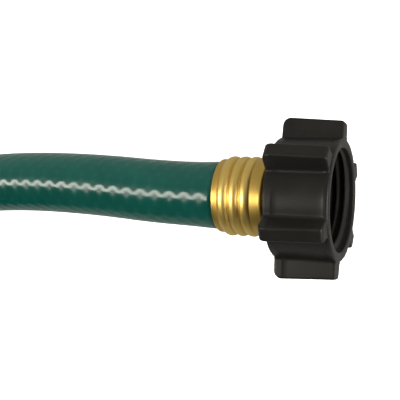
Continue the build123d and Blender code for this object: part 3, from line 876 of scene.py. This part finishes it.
def strap_path(middles):
    """Points and outward directions round the bundle, in (radius from the coil's centre, height)."""
    outline = []
    hug = HOSE_R + STRAP_GAP + STRAP_THICK / 2
    for k in range(OUTLINE_STEPS + 1):
        angle = math.radians(STRAP_START + 360 * k / OUTLINE_STEPS)
        out = Vector((math.cos(angle), math.sin(angle)))
        middle = max((Vector(m) for m in middles), key=lambda m: m.dot(out))
        outline.append((middle + out * hug, out))
    lengths = [0.0]
    for a, b in zip(outline, outline[1:]):
        lengths.append(lengths[-1] + (b[0] - a[0]).length)
    around = lengths[-1]
    path, k = [], 0
    steps = int(STRAP_TURNS * around / MM)
    for step in range(steps + 1):
        distance = step / steps * STRAP_TURNS * around
        wanted = distance % around
        k = 0 if wanted < lengths[k] else k
        while lengths[k + 1] < wanted:
            k += 1
        share = (wanted - lengths[k]) / (lengths[k + 1] - lengths[k])
        place = outline[k][0].lerp(outline[k + 1][0], share)
        out = outline[k][1].lerp(outline[k + 1][1], share).normalized()
        lift = (STRAP_THICK + LAP_GAP) * smooth_step(around - LAP_RISE, around, distance)
        path.append((place + out * lift, out, distance))
    return path


print("strap goes", STRAP_TURNS, "times round")


# %% Strap from its path
STRAP_EDGE = 0.2 * MM  # the bevel along the strap's edges


def strap_point(turn, place, across):
    """A point of a strap: its place in the bundle's section, and how far across the strap's width."""
    return Vector(on_coil(turn + math.degrees(across / TOP_TURN_R), place.x, place.y))


def strap(name, turn, path):
    """A ribbon along a path round the bundle, with rounded edges and a UV map in metres."""
    half, thick, edge = STRAP_HALF_WIDTH, STRAP_THICK / 2, STRAP_EDGE
    section = [(half, thick - edge), (half - edge, thick), (edge - half, thick), (-half, thick - edge)]
    section += [(-half, edge - thick), (edge - half, -thick), (half - edge, -thick), (half, edge - thick)]
    points = []
    for place, out, distance in path:
        points += [strap_point(turn, place + out * up, across) for across, up in section]
    faces = ring_faces(len(path), len(section))
    faces += [tuple(range(len(section))), tuple(range(len(points) - len(section), len(points)))]
    mesh = bpy.data.meshes.new(name)
    mesh.from_pydata([tuple(p) for p in points], [], faces)
    uv = mesh.uv_layers.new(name="along_and_across")
    for loop in mesh.loops:
        row, column = divmod(loop.vertex_index, len(section))
        uv.data[loop.index].uv = (path[row][2], section[column][0])
    turn_outwards(mesh)
    mesh.shade_smooth()
    mesh.set_sharp_from_angle(angle=math.radians(40))
    mesh.materials.append(tape)
    return mesh_piece(mesh)


# %% Stitch tree
stitch_sizes = {"Spacing": 3.2 * MM, "Stitch": 2.2 * MM, "Thread": 0.2 * MM}
stitch_tree, given = start_tree("hem_stitches", stitch_sizes)
line = add(stitch_tree, "GeometryNodeMeshToCurve", {"Mesh": given["Geometry"]})
spaced = add(
    stitch_tree, "GeometryNodeResampleCurve", {"Curve": line, "Length": given["Spacing"]}, mode="LENGTH"
)
bar = add(
    stitch_tree,
    "GeometryNodeMeshCylinder",
    {"Vertices": 6, "Radius": given["Thread"], "Depth": given["Stitch"]},
)
tangent = add(stitch_tree, "GeometryNodeInputTangent")
turned_along = add(stitch_tree, "FunctionNodeAlignRotationToVector", {"Vector": tangent}, axis="Z")
placed = add(
    stitch_tree,
    "GeometryNodeInstanceOnPoints",
    {"Points": spaced, "Instance": bar, "Rotation": turned_along},
)
end_tree(stitch_tree, placed, given)


# %% Straps and their stitches
HEM_END = 3  # steps of the strap's path, a millimetre each, that stay free of stitches
SEAM_OUT = 8.4 * MM  # from the middle of the strap
SEAM_LIFT = STRAP_THICK / 2 - 0.1 * MM  # the seam is pulled a little way into the tape
LOW_STRAP_TURN, HIGH_STRAP_TURN = 150, 14  # degrees round the coil


def stitches(name, turn, path):
    """Stitches along both edges of a strap."""
    points, edges = [], []
    sewn = path[HEM_END:-HEM_END]
    for across in (-SEAM_OUT, SEAM_OUT):
        for k, (place, out, distance) in enumerate(sewn):
            points.append(strap_point(turn, place + out * SEAM_LIFT, across))
            if k:
                edges.append((len(points) - 2, len(points) - 1))
    start = bpy.data.meshes.new(name + "_lines")
    start.from_pydata([tuple(p) for p in points], edges, [])
    return mesh_piece(run_tree(name, stitch_tree, thread, start))


top_three = low_pair + [(TOP_TURN_R, GROOVE_Z)]
for name, turn, middles in (("low", LOW_STRAP_TURN, low_pair), ("high", HIGH_STRAP_TURN, top_three)):
    path_round = strap_path(middles)
    ribbon = strap("strap_" + name, turn, path_round)
    hem = stitches("strap_stitches_" + name, turn, path_round)
    for piece in (ribbon, hem):
        hand_over(piece, "hose", "tie_strap", "coil_tie_" + name)
    print(ribbon.name, "length", round(path_round[-1][2], 3), "m")

# %% [markdown]
# ## The hose's finishes
# The hose takes the vinyl on its sides and the liner on its two end faces.

for material in (vinyl, liner):
    hose.data.materials.append(material)
for face in hose.data.polygons:
    # the two ends lie at the foot of the couplings' bores, where the hose's dark inside would show
    face.material_index = int(len(face.vertices) > 4)

# %% [markdown]
# ## Finishes on the CAD's own pieces
# The insert, the washer, the male coupling and the layers inside the ferrules keep their CAD shape, and only
# take their finish.

# %% Finishes on CAD nodes
finishes = {"insert": near_brass, "hose_washer": rubber, "male_fitting": far_brass}
for end in ("hose_end", "far_end"):
    finishes[end + "_cover"] = vinyl
    finishes[end + "_yarn"] = yarn
    finishes[end + "_liner"] = liner
for name, finish in finishes.items():
    nodes[name].data.materials.clear()
    nodes[name].data.materials.append(finish)
print("CAD pieces with a finish:", len(finishes))

# %% [markdown]
# ## Table and light
# The table is plain white and glows a little, so that it stays even and only faint shadows show. One long
# soft box hangs above the hose and draws the bright line along its crest and across the brass. A second one,
# which mirrors don't show, lights the far side, and a third shines into the mouth. The room is dim on the
# near side and lighter on the far side and below, so the hose and the brass are light above, dark on the
# near side and lighter again along their lower edge.

# %% Table
table_white, tree, shader = start_finish("white_table")
shader.inputs["Base Color"].default_value = hex_colour("#F4F4F4")
shader.inputs["Roughness"].default_value = 0.9
shader.inputs["Specular IOR Level"].default_value = 0.1
shader.inputs["Emission Color"].default_value = (1, 1, 1, 1)
shader.inputs["Emission Strength"].default_value = 0.8
TABLE_HALF = 20  # metres, so that its edge stays out of sight
corners = [(x * TABLE_HALF, y * TABLE_HALF, 0) for x, y in ((-1, -1), (1, -1), (1, 1), (-1, 1))]
table = mesh_object("table", corners, [(0, 1, 2, 3)], smooth=False)
table.data.materials.append(table_white)
table.visible_glossy = False  # polished pieces reflect the dim room instead

# %% Room
world = bpy.data.worlds.new("room")
scene.world = world
world.use_nodes = True
tree = world.node_tree
direction = add(tree, "ShaderNodeSeparateXYZ", [add(tree, "ShaderNodeTexCoord").outputs["Generated"]])
NEAR_STRENGTH, FAR_STRENGTH, TABLE_STRENGTH = 0.12, 0.5, 0.45
far_side_light = add(
    tree,
    "ShaderNodeMapRange",
    {0: direction.outputs["Y"], 1: -0.35, 2: 0.5, 3: NEAR_STRENGTH, 4: FAR_STRENGTH},
)
# below the horizon, where the white table is
from_table = add(
    tree, "ShaderNodeMapRange", {0: direction.outputs["Z"], 1: 0.0, 2: -0.25, 3: 0.0, 4: TABLE_STRENGTH}
)
strength = add(tree, MATH, [far_side_light, from_table], operation="MAXIMUM")
tree.links.new(strength.outputs[0], tree.nodes["Background"].inputs["Strength"])
tree.nodes["Background"].inputs["Color"].default_value = hex_colour("#F6F4EC")
scene.view_settings.view_transform = "Standard"


# %% Lamps
WARM_WHITE = (1.0, 0.96, 0.87)
COUPLING = (0, 0, 0.02)


def soft_box(name, place, aim, size, watts):
    """A rectangular lamp that faces a point, with a slightly warm light."""
    lamp = bpy.data.lights.new(name, "AREA")
    lamp.shape = "RECTANGLE"
    lamp.size, lamp.size_y = size
    lamp.energy = watts
    lamp.color = WARM_WHITE
    holder = bpy.data.objects.new(name, lamp)
    holder.location = place
    holder.rotation_euler = (Vector(aim) - Vector(place)).to_track_quat("-Z", "Y").to_euler()
    scene.collection.objects.link(holder)
    print(name, "radiance about", round(watts / (math.pi * size[0] * size[1]), 1))
    return holder


soft_box("long_soft_box", place=(-0.66, -0.12, 0.55), aim=(-0.66, -0.1, 0.0), size=(0.9, 0.18), watts=7.4)
far_box = soft_box("far_soft_box", place=(0.0, 0.62, 0.42), aim=COUPLING, size=(0.8, 0.3), watts=3.2)
far_box.visible_glossy = False
soft_box("mouth_fill", place=(0.45, -0.08, 0.2), aim=(0.02, 0, 0.02), size=(0.3, 0.3), watts=3.6)
